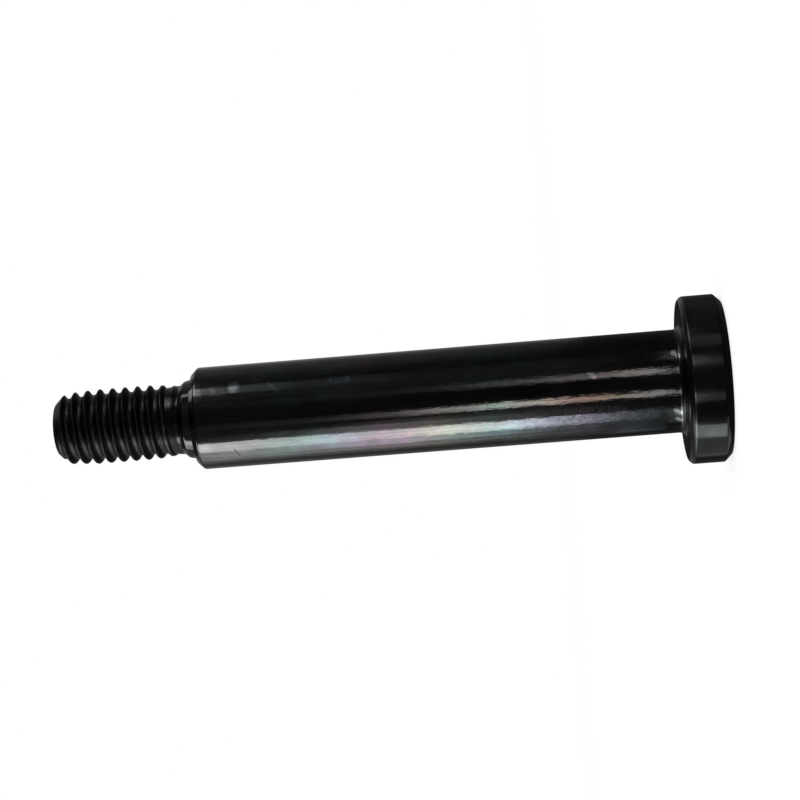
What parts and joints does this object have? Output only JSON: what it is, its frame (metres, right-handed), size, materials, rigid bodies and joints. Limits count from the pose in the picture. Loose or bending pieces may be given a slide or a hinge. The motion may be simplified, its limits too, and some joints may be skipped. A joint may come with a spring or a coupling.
{
  "type": "shoulder bolt",
  "caption": "Black shoulder bolt with a low round head, a ground cylindrical shoulder, a short neck and a threaded end.",
  "frame": {"origin": "centre of the head's outer face, the face that the bolt stands on", "axes": "+Z along the bolt's axis, from the head's outer face to the threaded end"},
  "size_m": [0.013, 0.013, 0.0523],
  "materials": {
    "black_oxide_steel": "oiled black oxide on fine-turned and ground steel"
  },
  "bodies": {
    "root": {"shoulder_bolt": "black_oxide_steel"}
  },
  "joints": []
}
